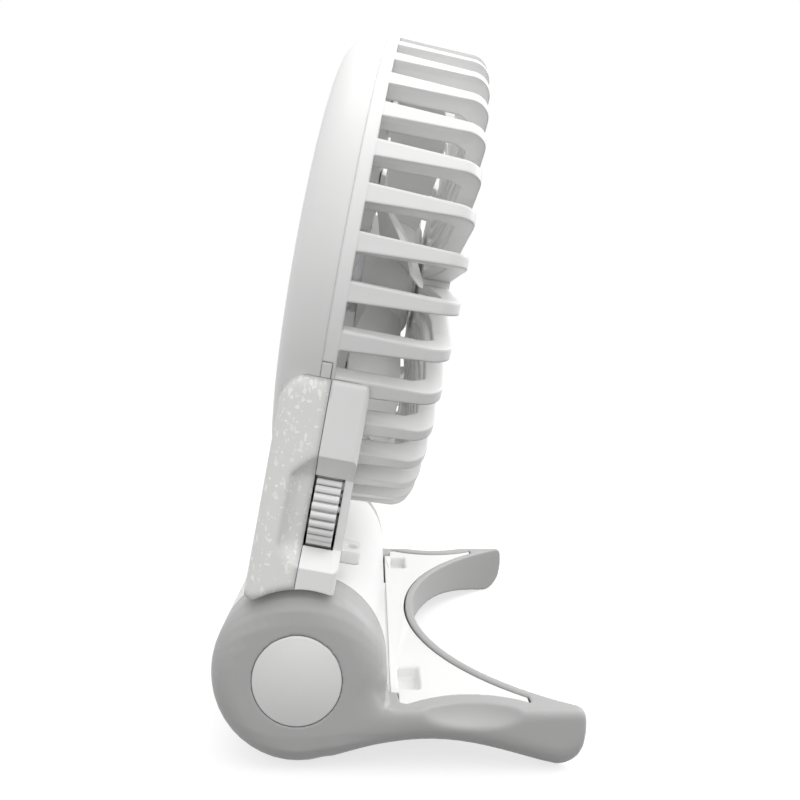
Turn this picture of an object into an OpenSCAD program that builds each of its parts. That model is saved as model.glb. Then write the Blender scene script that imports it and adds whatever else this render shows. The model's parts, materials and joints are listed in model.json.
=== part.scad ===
// Folding camping fan: a ribbed fan drum on a flat neck, tilting on a U-shaped foot.
// X runs forward (the way the air blows), Y to the fan's left, Z up.
// The origin is under the middle of the fan, on the table.

/* [Drum] */
// Outer diameter of the fan drum
drum_d = 149; // [120:1:180]
// How far the front plane of the grille lies ahead of the hinge axis
grille_front = 23.3; // [20:0.1:30]
// Length of the free ribs along the side of the drum
rib_len = 27.6; // [22:0.1:34]
// Width of the plain ring behind the ribs
ring_len = 3.6; // [3:0.1:6]
// Depth of the rear half of the drum
rear_len = 12.1; // [11:0.1:18]
// Radius of the rounded rear shoulder of the drum
shoulder_r = 11; // [6:0.5:12]
// Wall of the drum mouldings
drum_wall = 2.2; // [1.6:0.1:3]

/* [Grille] */
// Number of ribs round the drum
rib_n = 38; // [24:1:44]
// Width of a rib where it leaves the ring
rib_root_w = 5.1; // [3:0.1:6]
// Width of a rib at the front corner
rib_tip_w = 3.0; // [2:0.1:4]
// Width of a rib where it meets the centre disc
rib_core_w = 2.2; // [1.4:0.1:3]
// Depth of a rib, inwards from its outer face
rib_depth = 5.2; // [3.6:0.1:7]
// Angle that the ribs close in by, towards the front
rib_draft = 3.1; // [1:0.1:5]
// Radius of the rounded corner between the side and the front
corner_r = 6; // [3:0.5:8]
// Radius of the centre disc
core_r = 26; // [20:0.5:32]
// Turn of the first rib above the level line
rib_phase = 2.06; // [0:0.01:4]

/* [Impeller] */
// Number of blades
blade_n = 7; // [5:1:9]
// Gap from a blade tip to the inside of the ribs
tip_gap = 2.6; // [1.5:0.1:5]
// Radius of the hub
hub_r = 19; // [17.5:0.5:23]
// Thickness of a blade
blade_t = 1.4; // [1:0.1:2]
// Axial depth of a blade
blade_depth = 16; // [10:0.5:18]
// Pitch of a blade at its tip
tip_pitch = 30; // [22:1:40]
// Pitch of a blade at the hub
root_pitch = 56; // [45:1:65]

/* [Neck] */
// How far the flat sides of the neck lie inside the drum
side_inset = 6.5; // [4:0.1:10]
// From the hinge axis forward to the front face
neck_front = 5.2; // [4:0.1:7]
// From the hinge axis back to the rear face
neck_back = 17.2; // [16:0.1:21]
// From the hinge axis back to the seam between shell and cover
neck_seam = 4.7; // [4.2:0.1:7]
// Wall of the neck mouldings
neck_wall = 2; // [1.4:0.1:2.4]
// Space between the barrel and the bottom of the drum
neck_rise = 9.4; // [7:0.1:14]
// Depth of the finger waist in each side
waist_depth = 4.5; // [3:0.1:6]
// Length of the flat floor of the waist
waist_len = 17.6; // [15:0.1:21]
// Length of the slope above the floor
waist_up = 5.8; // [4:0.1:8]
// Length of the slope below the floor
waist_down = 4.6; // [3:0.1:6]

/* [Dial] */
// Radius of the thumbwheel over its ridges
wheel_r = 10.4; // [9.6:0.1:11]
// Thickness of the thumbwheel
wheel_t = 6.4; // [5:0.1:6.6]
// Number of ridges
ridge_n = 28; // [20:1:34]
// From the top of the barrel up to the axis of the thumbwheel
dial_rise = 18.7; // [17.4:0.1:24]

/* [Hinge] */
// Radius of the barrel and of the round cheeks
barrel_r = 22.4; // [21.4:0.1:27]
// Width of each cheek
cheek_w = 14; // [12:0.1:17]
// Radius of the rounded outer edge of a cheek
cheek_round = 7; // [2:0.5:8]
// Radius of the round covers on the cheeks
cap_r = 11.1; // [10.4:0.1:13]
// Radius of the hinge pins
pin_r = 6; // [4:0.1:7]
// Forward lean of the head
lean = 10.3; // [4:0.1:16]

/* [Base] */
// How far the legs reach ahead of the hinge axis
leg_reach = 72; // [66:0.5:80]
// From the hinge axis down to the top of the base
base_drop = 7.2; // [6.6:0.1:9]
// Height of the arch under the legs
arch_h = 6.2; // [2:0.1:7]
// Radius of the toe of a leg
toe_r = 7; // [4:0.5:8]
// Width of the lip round the inside of the U
lip_w = 2.6; // [2:0.1:4]
// Thickness of the white top plate
plate_t = 2.5; // [1.6:0.1:3]
// Gap round the top plate
plate_gap = 0.3; // [0.1:0.05:0.5]
// Radius of the upper edges of a leg
top_edge = 2; // [1:0.1:2.5]
// Radius of the lower outer edge of a leg
low_edge = 6.5; // [2:0.5:7]
// Height of the nubs under the cheeks
nub_h = 0.5; // [0.3:0.1:1.5]

/* [Battery] */
// Radius of a cell
cell_r = 9.1; // [7:0.1:9.2]
// Length of a cell
cell_len = 65; // [50:1:70]

/* [Fits] */
// Gap along a seam between mouldings
seam_gap = 0.15; // [0.1:0.05:0.3]
// Gap between parts that move past each other
move_gap = 0.3; // [0.25:0.05:0.5]
// Running clearance of a pin or shaft, on the radius
run_gap = 0.05; // [0.02:0.01:0.1]
// Gap between the folded drum and the inside of the U
fold_gap = 0.6; // [0.5:0.1:2]

/* [Hidden] */
$fn = 96;
far = 400;
// A little more than nothing, so that a cut runs past the face it starts from
past = 1;

// The drum, along its own axis from the hinge's plane
drum_r = drum_d / 2;
fan_z = barrel_r + neck_rise + drum_r;
rib_root = grille_front - rib_len;
drum_seam = rib_root - ring_len;
drum_back = drum_seam - rear_len;
tip_r = drum_r - rib_len * tan(rib_draft);
function drum_r_at(a) = drum_r - max(a - rib_root, 0) * tan(rib_draft);
rib_step = 360 / rib_n;
// A rib starts inside the ring, and its flat outer face lies just under the round one
rib_foot = rib_root - 0.4;
rib_sink = 0.1;

// The neck
half_w = drum_r - side_inset;
neck_top = fan_z - sqrt(pow(drum_r, 2) - pow(half_w, 2)) - 1;
neck_corner = 7;
neck_edge = 5;
front_edge = 1.5;
drum_bed = drum_r + seam_gap;
cheek_bed = barrel_r + move_gap;
barrel_half = half_w - cheek_w - move_gap;
barrel_end = 4;
skirt_z = 0.735 * barrel_r;
dial_z = barrel_r + dial_rise;
waist_y = half_w - waist_depth;
slot_z0 = dial_z - waist_len / 2;
slot_z1 = dial_z + waist_len / 2;
slot_front = 3;
cut_seam = neck_seam - seam_gap / 2;
// How far outside the neck the waist's round end in the cover has its axis
waist_out = 1.5;

// The thumbwheel's axis lies so that its rim fills the slot
slot_end_gap = 0.3;
wheel_y = waist_y - sqrt(pow(wheel_r, 2) - pow(waist_len / 2 - slot_end_gap, 2));
wheel_x0 = (slot_front - neck_seam - wheel_t) / 2;
ridge_r = 0.95;
wheel_gap = 0.5;
shaft_r = 1.5;
shaft_tip = 1.2;

// The hinge
hinge_z = barrel_r + nub_h;
hinge_x = -(leg_reach - barrel_r) / 2;
cheek_in = half_w - cheek_w;
cap_t = 2.4;
cap_dome = 0.2;
well_r = 9.6;
well_in = cheek_in + 5;
washer_t = 1.05;
flange_t = 2;
flange_r = 9;
pin_in = barrel_half - barrel_end - 3.7;
flange_y = well_in + washer_t + move_gap;
hinge_screw_r = 1.5;

// The base, from the hinge axis
base_top = -base_drop;
floor_z = -hinge_z;
leg_start = 0.36 * barrel_r;
bite_r = drum_r_at(base_drop) + fold_gap;
plate_bite_r = bite_r + lip_w;
plate_back = barrel_r + 0.8;
plate_step_x = barrel_r + 2.9;
plate_side = half_w - 4;
plate_neck = half_w - 10;
plate_end = leg_reach - 13.5;
scoop_x = (plate_step_x + plate_end) / 2 + 1.7;
scoop_rim = 4.4;
scoop_r = 23.6;
scoop_y = half_w - 4.6 + scoop_r;
scoop_round = 6.5;
arch_mid = leg_reach - 39;
toe_x = leg_reach - toe_r;
nub_y = half_w - cheek_round - 2.5;
nub_x = -2;
nub_r = 2.5;
// The hollow fillet between a cheek and its leg, and where the bridge between the sides starts
join_r = base_drop - neck_front - move_gap;
join_z = base_top + join_r;
join_x = sqrt(pow(barrel_r + join_r, 2) - join_z * join_z);
join_turn = atan(-join_z / join_x);
disc_end = barrel_r - 0.02;
bridge_x = join_x + 0.14;
// Stations along a side: round the cheek, along the leg and round the toe, and points of a section
disc_steps = 22;
leg_steps = 12;
toe_steps = 6;
side_rows = 14;
side_m = side_rows + 3;
// Screws that hold the plate from below: x and y of each, to be used on both sides
plate_screw_at = [[plate_back + 4.3, half_w - 38], [plate_end - 5.5, half_w - 9.6]];
plate_screw_r = 1.1;
plate_boss_r = 2.3;
plate_boss_z = base_top - plate_t - 2.8;
plate_head_r = 2.2;
plate_head_z = plate_boss_z - 2;

// The lugs on the neck and the pockets that take them when the fan is folded
lug_y = half_w - 19;
lug_w = 11;
lug_out = 5.3;
lug_z = barrel_r + 4.1;
lug_t = 3.2;
lug_hole_r = 1.5;
pocket_gap = 1;
pocket_ahead = 1.6;
pocket_depth = neck_front + lug_out - base_drop + 0.7;
pocket_wall = 1;

// Screws through the neck: y and z of each, to be used on both sides
neck_screw_at = [[half_w - 10, barrel_r + 6.1], [22, barrel_r + 4.3]];
boss_r = 3.2;
neck_screw_r = 1.2;
neck_head_r = 2.6;

// Boards, charging socket and light
board_t = 1.2;
sensor_back = wheel_x0 - wheel_gap - 5;
usb_x = -0.6;
usb_gap = 0.15;
usb_h = 3.2;
usb_w = 8.9;
usb_len = 7.3;
light_r = 1;
light_drop = 7;

// The rear half of the drum: air intake, lip, motor seat and cap
intake_r0 = core_r + 4;
intake_r1 = drum_r - shoulder_r - 4;
intake_w = 2.6;
lip_len = 2.6;
side_wall = 2 * drum_wall + seam_gap;
rear_cap_r = core_r - 2;
rear_cap_t = 1.4;
seat_wall = 1.8;
seat_len = 7;

// The grille's centre, and the latches on its ring
core_t = 2;
core_wall = 2.4;
core_rise = 0.1;
latch_len = 5;
latch_turn = asin(-(neck_top + 1.6 - fan_z) / drum_r);

// The motor, along the drum's axis
motor_screw_x = 8;
floor_a = drum_back + drum_wall;
motor_r = 14;
motor_back = floor_a + 0.1;
motor_front = motor_back + 16.6;
motor_plate_t = 1.4;
hub_front = motor_front + motor_plate_t + 13.1;
hub_back = motor_front - 2;
hub_wall = 2.5;
blade_tip_r = tip_r - rib_depth - tip_gap;
blade_mid = rib_root + 10.3;
core_back = hub_front + 1.4;
// Rows of points along a blade and across it
blade_rows = 11;
blade_cols = 6;
root_r = hub_r - 1;

// ---- Helpers ----

// From the hinge's own axes to the table
module at_hinge() {
    translate([hinge_x, 0, hinge_z]) children();
}

// The head leans forward on the hinge
module in_head() {
    at_hinge() rotate([0, lean, 0]) children();
}

// Along the drum's axis: local z runs forward and local -x runs up
module on_fan_axis() {
    in_head() translate([0, 0, fan_z]) rotate([0, 90, 0]) children();
}

// Both sides of the fan
module both_sides() {
    children();
    mirror([0, 1, 0]) children();
}

// A side profile, given as x and z, across the whole width w
module across(w) {
    rotate([90, 0, 0]) linear_extrude(height = w, center = true) children();
}

// A cylinder along Y from y0 to y1
module rod_y(r, y0, y1) {
    translate([0, y1, 0]) rotate([90, 0, 0]) cylinder(r = r, h = y1 - y0);
}

// A cylinder along X from x0 to x1
module rod_x(r, x0, x1) {
    translate([x0, 0, 0]) rotate([0, 90, 0]) cylinder(r = r, h = x1 - x0);
}

// A box from one corner to the other
module box(lo, hi) {
    translate(lo) cube(hi - lo);
}

// ---- Neck ----

// Side profile of the neck, drawn in by i
module neck_profile(i) {
    r = neck_corner - i;
    top = neck_top - i;
    back = -neck_back + i;
    polygon([[back, 0], [neck_front - i, 0], [neck_front - i, top],
        [back + r, top], [back, top - r]]);
    translate([back + r, top - r]) circle(r = r);
}

// Section of the neck from above, drawn in by i
module neck_section(i) {
    r = neck_edge - i;
    f = max(front_edge - i, 0.2);
    back = -neck_back + i;
    front = neck_front - i;
    w = half_w - i;
    polygon([[back, -w + r], [back + r, -w], [front - f, -w], [front, -w + f],
        [front, w - f], [front - f, w], [back + r, w], [back, w - r]]);
    both_sides() {
        translate([back + r, w - r]) circle(r = r);
        translate([front - f, w - f]) circle(r = f);
    }
}

// The finger waist in each side, drawn out by i: straight in the shell, and round in the cover
module waist_cut(i) {
    low = slot_z0 - waist_down - i;
    high = slot_z1 + waist_up + i;
    deep = waist_out + waist_depth + i;
    both_sides() {
        translate([-neck_seam, 0, 0]) rotate([90, 0, 90]) linear_extrude(height = far)
            polygon([[waist_y - i, slot_z0 - i], [half_w, low], [half_w + past, low],
                [half_w + past, high], [half_w, high], [waist_y - i, slot_z1 + i]]);
        translate([-neck_seam, half_w + waist_out, 0]) rotate_extrude()
            polygon([[0, low], [waist_out, low], [deep, slot_z0 - i],
                [deep, slot_z1 + i], [waist_out, high], [0, high]]);
    }
}

// The neck with its barrel as one block, drawn in by i
module neck_block(i) {
    difference() {
        union() {
            intersection() {
                across(2 * half_w) neck_profile(i);
                linear_extrude(height = far) neck_section(i);
            }
            rod_y(barrel_r - i, -barrel_half, barrel_half);
        }
        rod_x_at_fan(drum_bed + i);
        waist_cut(i);
        both_sides() box([-far, barrel_half, -far], [far, far, skirt_z + i]);
        both_sides() rod_y(cheek_bed + i, barrel_half, far);
    }
}

// A rod on the drum's axis, right through the neck
module rod_x_at_fan(r) {
    translate([0, 0, fan_z]) rod_x(r, -far, far);
}

// The room inside the neck and the barrel
module neck_room() {
    difference() {
        neck_block(neck_wall);
        both_sides() box([-far, barrel_half - barrel_end, -far], [far, far, cheek_bed + neck_wall]);
    }
}

// The bosses that the neck screws run in
module neck_bosses(r) {
    both_sides() for (p = neck_screw_at)
        translate([0, p[0], p[1]]) rod_x(r, -neck_back, neck_front);
}

// The neck's walls, before they part at the seam
module neck_walls() {
    difference() {
        neck_block(0);
        difference() {
            neck_room();
            neck_bosses(boss_r);
        }
        both_sides() rod_y(pin_r + seam_gap / 3, pin_in - past, far);
    }
    intersection() {
        both_sides() difference() {
            rod_y(pin_r + 2.4, pin_in, barrel_half - barrel_end + past);
            rod_y(pin_r + seam_gap / 3, pin_in - past, far);
        }
        rod_y(barrel_r - neck_wall / 2, -barrel_half, barrel_half);
    }
}

// One lug, with the hole for a cord
module lug() {
    difference() {
        union() {
            box([neck_front - past, lug_y - lug_w / 2, lug_z],
                [neck_front + lug_out - 2, lug_y + lug_w / 2, lug_z + lug_t]);
            box([neck_front - past, lug_y - lug_w / 2 + 2, lug_z],
                [neck_front + lug_out, lug_y + lug_w / 2 - 2, lug_z + lug_t]);
            for (s = [-1, 1])
                translate([neck_front + lug_out - 2, lug_y + s * (lug_w / 2 - 2), lug_z])
                    cylinder(r = 2, h = lug_t);
        }
        translate([neck_front + lug_out / 2, lug_y, lug_z - past])
            cylinder(r = lug_hole_r, h = lug_t + 2 * past);
    }
}

module neck_front_shell() {
    color([0.95, 0.95, 0.95]) in_head() difference() {
        union() {
            intersection() {
                neck_walls();
                box([-cut_seam, -far, -far], [far, far, far]);
            }
            both_sides() lug();
        }
        neck_bosses(neck_screw_r + run_gap);
        // Slot and room of the thumbwheel, and the seat of its shaft
        box([-cut_seam - past, -far, slot_z0], [slot_front, wheel_y, slot_z1]);
        translate([0, -wheel_y, dial_z]) rod_x(wheel_r + wheel_gap, -far, slot_front);
        translate([0, -wheel_y, dial_z]) rod_x(shaft_r + run_gap, 0, slot_front + shaft_tip);
        // Charging socket and light, on the other side
        translate([usb_x, 0, dial_z]) usb_outline(usb_gap, waist_y - neck_wall - past, far);
        translate([usb_x, 0, dial_z - light_drop])
            rod_y(light_r + seam_gap, waist_y - neck_wall - past, far);
    }
}

module neck_rear_cover() {
    color([0.84, 0.84, 0.81]) in_head() difference() {
        intersection() {
            neck_walls();
            box([-far, -far, -far], [-neck_seam - seam_gap / 2, far, far]);
        }
        neck_bosses(neck_screw_r + 3 * run_gap);
        both_sides() for (p = neck_screw_at)
            translate([0, p[0], p[1]])
                rod_x(neck_head_r + seam_gap, -neck_back - past, -neck_back + 2.2);
    }
}

module neck_screws() {
    color([0.6, 0.6, 0.62]) in_head() both_sides() for (p = neck_screw_at)
        translate([0, p[0], p[1]]) {
            rod_x(neck_head_r, -neck_back + 0.4, -neck_back + 2.2);
            rod_x(neck_screw_r, -neck_back + 2, neck_front - 4);
        }
}

// ---- Hinge ----

// One hinge pin: its flange holds the cheek against the barrel
module hinge_pin() {
    difference() {
        union() {
            rod_y(pin_r, pin_in, flange_y + past / 2);
            rod_y(flange_r, flange_y, flange_y + flange_t);
        }
        rod_y(hinge_screw_r + run_gap, pin_in - past, far);
    }
}

module left_hinge_pin() {
    color([0.72, 0.72, 0.74]) in_head() hinge_pin();
}

module right_hinge_pin() {
    color([0.72, 0.72, 0.74]) in_head() mirror([0, 1, 0]) hinge_pin();
}

module hinge_screws() {
    color([0.6, 0.6, 0.62]) in_head() both_sides() {
        rod_y(hinge_screw_r, pin_in - 2, flange_y + flange_t + past / 2);
        rod_y(2 * hinge_screw_r, flange_y + flange_t, flange_y + flange_t + 1.4);
    }
}

module friction_washers() {
    color([0.35, 0.35, 0.36]) at_hinge() both_sides() difference() {
        rod_y(flange_r, well_in, well_in + washer_t);
        rod_y(pin_r + move_gap, well_in - past, well_in + washer_t + past);
    }
}

// One round cover, with a soft edge
module hinge_cap() {
    rotate([-90, 0, 0]) rotate_extrude() {
        translate([0, half_w - cap_t]) square([cap_r, cap_t - 0.6]);
        translate([0, half_w - cap_t]) square([cap_r - 0.8, cap_t + cap_dome]);
        translate([cap_r - 0.8, half_w - 0.6]) circle(r = 0.8);
    }
}

module left_hinge_cap() {
    color([0.82, 0.82, 0.82]) at_hinge() hinge_cap();
}

module right_hinge_cap() {
    color([0.82, 0.82, 0.82]) at_hinge() mirror([0, 1, 0]) hinge_cap();
}

// ---- Base ----

// Underside of the legs: an arch, then the round toe
function arch_z(x) =
    x > toe_x ? floor_z + toe_r - sqrt(max(pow(toe_r, 2) - pow(x - toe_x, 2), 0))
    : floor_z + arch_h * pow((1 + cos(180 * (x - arch_mid) / (toe_x - arch_mid))) / 2, 0.6);
function disc_z(x) = sqrt(max(pow(barrel_r, 2) - x * x, 0));

// Top of a leg, with a ramp up to the cheek that the hollow fillet is cut from
function leg_top(x) =
    x > leg_reach - top_edge ? base_top - edge_back(top_edge, leg_reach - x)
    : base_top + join_r * max(min((join_x - x) / (join_x - disc_end), 1), 0);
function side_low(x) = x < leg_start ? -disc_z(x) : min(arch_z(x), x < 0.5 * barrel_r ? -disc_z(x) : 0);
function side_high(x) = x < disc_end ? disc_z(x) : leg_top(x);

// How far a rounded edge of radius r stands back at the distance d from the outline
function edge_back(r, d) = d >= r ? 0 : r - sqrt(max(r * r - pow(r - max(d, 0), 2), 0));
function disc_y(x, z) = half_w - edge_back(cheek_round, barrel_r - norm([x, z]));
function leg_y(x, z) = half_w - edge_back(low_edge, z - side_low(x)) - edge_back(top_edge, leg_top(x) - z)
    - edge_back(top_edge, leg_reach - x);
function on_disc(x, z) = x < disc_end + 0.01;
function on_leg(x, z) = x > leg_start && z < leg_top(max(x, barrel_r)) + 0.01;
function side_y(x, z) = max(on_disc(x, z) ? disc_y(x, z) : 0, on_leg(x, z) ? leg_y(x, z) : 0);
function side_in(x) = x < bridge_x ? cheek_in : 0;

// Stations along X: round the cheek, along the leg and round the toe
side_x = concat([for (i = [0 : disc_steps - 1]) -barrel_r * cos(2 + 176 * i / disc_steps)],
    [barrel_r * cos(5), disc_end, join_x, bridge_x - 0.05, bridge_x],
    [for (i = [1 : leg_steps - 1]) bridge_x + (toe_x - bridge_x) * i / leg_steps],
    [for (i = [0 : toe_steps]) toe_x + (toe_r - 0.02) * sin(90 * i / toe_steps)]);

// Section of one half of the base at x: the rounded outer side, then the flat inner one
function side_section(x) = let (b = side_low(x), t = side_high(x)) concat(
    [for (j = [0 : side_rows])
        let (z = b + (t - b) * (1 - cos(180 * j / side_rows)) / 2) [x, side_y(x, z), z]],
    [[x, side_in(x), t], [x, side_in(x), b]]);

// What is cut away under the front of the cheeks, down to the hollow fillet
module join_profile() {
    polygon(concat(
        [for (i = [1 : 6]) let (a = join_turn * i / 6) [barrel_r * cos(a), -barrel_r * sin(a)]],
        [for (i = [1 : 6]) let (a = 180 - join_turn + (90 + join_turn) * i / 6)
            [join_x + join_r * cos(a), join_z + join_r * sin(a)]],
        [[join_x, -barrel_r * sin(join_turn / 6)]]));
}

// One half of the base as one smooth moulding: cheek, leg and half of the bridge
module base_half() {
    n = len(side_x);
    m = side_m;
    points = [for (x = side_x) each side_section(x)];
    faces = concat(
        [[for (j = [m - 1 : -1 : 0]) j]],
        [[for (j = [0 : m - 1]) (n - 1) * m + j]],
        [for (i = [0 : n - 2], j = [0 : m - 1]) [i * m + j, i * m + (j + 1) % m, (i + 1) * m + j]],
        [for (i = [0 : n - 2], j = [0 : m - 1])
            [i * m + (j + 1) % m, (i + 1) * m + (j + 1) % m, (i + 1) * m + j]]);
    polyhedron(points = points, faces = faces);
}

// Outline of the white plate from above, drawn in by i
module plate_outline(i) {
    difference() {
        union() {
            translate([plate_back + i, -plate_neck + i])
                square([plate_end - plate_back - 2 * i, 2 * (plate_neck - i)]);
            translate([plate_step_x + i, -plate_side + i])
                square([plate_end - plate_step_x - 2 * i, 2 * (plate_side - i)]);
        }
        translate([fan_z, 0]) circle(r = plate_bite_r + i);
        both_sides() translate([scoop_x, scoop_y]) circle(r = scoop_r + scoop_rim + i);
    }
}

// The room of one pocket, drawn out by g, up to the height z1
module pocket(g, z1) {
    box([lug_z - pocket_gap - g, lug_y - lug_w / 2 - pocket_gap - g, base_top - pocket_depth - g],
        [lug_z + lug_t + pocket_ahead + g, lug_y + lug_w / 2 + pocket_gap + g, z1]);
}

module base_frame() {
    color([0.72, 0.72, 0.72]) at_hinge() difference() {
        both_sides() base_half();
        across(far) join_profile();
        // The U that the folded drum lies in
        translate([fan_z, 0, -far / 2]) cylinder(r = bite_r, h = far);
        // Thumb scoops
        both_sides() translate([scoop_x, scoop_y, base_top + 1.9]) rotate_extrude() {
            square([scoop_r - scoop_round, 2 * scoop_round], center = false);
            translate([0, -scoop_round]) square([scoop_r - scoop_round, 2 * scoop_round]);
            translate([scoop_r - scoop_round, 0]) circle(r = scoop_round);
        }
        // Seat of the white plate, and the room under it
        translate([0, 0, base_top - plate_t]) linear_extrude(height = far) plate_outline(-plate_gap);
        translate([0, 0, base_top - plate_t - 3]) linear_extrude(height = far) plate_outline(2.2);
        // Hinge bore, washer well and cap seat
        both_sides() {
            rod_y(pin_r + run_gap, cheek_in - past, far);
            rod_y(well_r, well_in, far);
            rod_y(cap_r + seam_gap, half_w - cap_t - seam_gap, far);
            translate([nub_x, nub_y, floor_z - past]) cylinder(r = nub_r + seam_gap, h = 3 + past);
            pocket(pocket_wall + seam_gap, far);
            for (p = plate_screw_at) translate([p[0], p[1], 0]) {
                translate([0, 0, floor_z]) cylinder(r = plate_screw_r + 2 * run_gap, h = hinge_z);
                translate([0, 0, floor_z - past])
                    cylinder(r = plate_head_r + 0.3, h = past + plate_head_z - floor_z);
                translate([0, 0, plate_boss_z - seam_gap])
                    cylinder(r = plate_boss_r + seam_gap, h = hinge_z);
            }
        }
    }
}

module base_top_plate() {
    color([0.97, 0.97, 0.97]) at_hinge() difference() {
        union() {
            translate([0, 0, base_top - plate_t + seam_gap / 2])
                linear_extrude(height = plate_t - seam_gap / 2) plate_outline(0);
            both_sides() pocket(pocket_wall, base_top - 1);
            both_sides() for (p = plate_screw_at) translate([p[0], p[1], plate_boss_z])
                cylinder(r = plate_boss_r, h = base_top - 1 - plate_boss_z);
        }
        both_sides() pocket(0, far);
        both_sides() for (p = plate_screw_at) translate([p[0], p[1], plate_boss_z - past])
            cylinder(r = plate_screw_r, h = base_top - 1.2 - plate_boss_z + past);
    }
}

module base_plate_screws() {
    color([0.6, 0.6, 0.62]) at_hinge() both_sides() for (p = plate_screw_at) translate([p[0], p[1], 0]) {
        translate([0, 0, plate_head_z - 1.5]) cylinder(r = plate_head_r, h = 1.5);
        translate([0, 0, plate_head_z - 0.1]) cylinder(r = plate_screw_r, h = base_top - 1.5 - plate_head_z);
    }
}

module rear_feet() {
    color([0.66, 0.66, 0.66]) at_hinge() both_sides()
        translate([nub_x, nub_y, floor_z]) cylinder(r = nub_r, h = 2.8);
}

// ---- Battery, boards and socket ----

module battery_cells() {
    color([0.35, 0.55, 0.75]) in_head() for (s = [-1, 1])
        translate([s * (cell_r + 0.3), 0, 0]) rod_y(cell_r, -cell_len / 2, cell_len / 2);
}

module battery_holder() {
    color([0.25, 0.25, 0.26]) in_head() difference() {
        intersection() {
            rod_y(barrel_r - neck_wall - 0.2, -cell_len / 2 - 3, cell_len / 2 + 3);
            box([-far, -far, -far], [far, far, 0]);
        }
        for (s = [-1, 1])
            translate([s * (cell_r + 0.3), 0, 0])
                rod_y(cell_r + seam_gap, -cell_len / 2 - 0.8, cell_len / 2 + 0.8);
    }
}

module battery_contacts() {
    color([0.8, 0.78, 0.7]) in_head() both_sides() for (s = [-1, 1])
        translate([s * (cell_r + 0.3), 0, 0])
            box([-4, cell_len / 2 + 0.2, -6], [4, cell_len / 2 + 0.7, 6]);
}

// A board upright behind the waist: y from y0 to y1, kept clear of the drum
module side_board(x, y0, y1) {
    difference() {
        box([x - board_t, y0, slot_z0 + 0.5], [x, y1, slot_z1 + 1]);
        rod_x_at_fan(drum_bed + neck_wall + 0.4);
    }
}

module dial_board() {
    color([0.1, 0.4, 0.2]) in_head() mirror([0, 1, 0])
        side_board(sensor_back, wheel_y - 9, waist_y - neck_wall - 0.3);
}

module dial_sensor() {
    color([0.2, 0.2, 0.22]) in_head() translate([0, -wheel_y, dial_z]) difference() {
        rod_x(3.5, sensor_back, wheel_x0 - wheel_gap);
        rod_x(shaft_r + run_gap, sensor_back + 2, far);
    }
}

module charging_board() {
    color([0.1, 0.4, 0.2]) in_head()
        side_board(usb_x - usb_h / 2, wheel_y - 9, waist_y - neck_wall - 0.3);
}

// Round-ended outline of the socket along Y, drawn out by g
module usb_outline(g, y0, y1) {
    h = usb_h / 2 + g;
    w = usb_w / 2 - usb_h / 2;
    box([-h, y0, -w], [h, y1, w]);
    for (s = [-1, 1])
        translate([0, 0, s * w]) rod_y(h, y0, y1);
}

module usb_socket() {
    color([0.75, 0.75, 0.77]) in_head() translate([usb_x, 0, dial_z]) difference() {
        usb_outline(0, waist_y - usb_len, waist_y - 0.1);
        difference() {
            usb_outline(-0.35, waist_y - usb_len + 1, waist_y + past);
            box([-0.35, waist_y - usb_len, -3.2], [0.35, waist_y - 1, 3.2]);
        }
    }
}

module charge_light() {
    color([0.9, 0.95, 0.9]) in_head() translate([usb_x, 0, dial_z - light_drop])
        rod_y(light_r, waist_y - neck_wall - 1, waist_y + 0.1);
}

// ---- Drum ----

// One round-ended slot of the air intake, from r0 to r1
module intake_slot(r0, r1, w) {
    translate([r0, -w / 2]) square([r1 - r0, w]);
    translate([r0, 0]) circle(d = w);
    translate([r1, 0]) circle(d = w);
}

module rear_housing() {
    color([0.95, 0.95, 0.95]) on_fan_axis() difference() {
        rotate_extrude() {
            // Outer wall, with the lip that enters the front ring
            translate([drum_r - side_wall, drum_back + shoulder_r])
                square([side_wall, drum_seam - seam_gap / 2 - drum_back - shoulder_r]);
            translate([drum_r - side_wall, drum_back + shoulder_r])
                square([drum_wall, drum_seam + lip_len - drum_back - shoulder_r]);
            // Rounded shoulder
            translate([drum_r - shoulder_r, drum_back]) intersection() {
                translate([0, shoulder_r]) difference() {
                    circle(r = shoulder_r);
                    circle(r = shoulder_r - side_wall);
                }
                square([shoulder_r, shoulder_r]);
            }
            // Back, with the seat of the motor
            translate([0, drum_back]) square([drum_r - shoulder_r, drum_wall]);
            translate([0, drum_back]) square([core_r, drum_wall + 1]);
            translate([motor_r + 0.1, drum_back]) square([seat_wall, drum_wall + 1 + seat_len]);
        }
        for (i = [0 : rib_n - 1]) rotate(i * rib_step)
            translate([0, 0, drum_back - past]) linear_extrude(height = drum_wall + 2 * past)
                intake_slot(intake_r0, intake_r1, intake_w);
        translate([0, 0, drum_back - past]) cylinder(r = rear_cap_r + seam_gap, h = rear_cap_t + past);
        translate([0, 0, motor_back]) cylinder(r = motor_r + 0.1, h = far);
        for (s = [-1, 1]) translate([s * motor_screw_x, 0, drum_back - past]) cylinder(r = 1.3, h = far);
    }
}

module rear_centre_cap() {
    color([0.95, 0.95, 0.95]) on_fan_axis() difference() {
        translate([0, 0, drum_back]) cylinder(r = rear_cap_r, h = rear_cap_t - 0.1);
        for (s = [-1, 1]) translate([s * motor_screw_x, 0, drum_back + 0.6]) cylinder(r = 2.8, h = far);
    }
}

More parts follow.
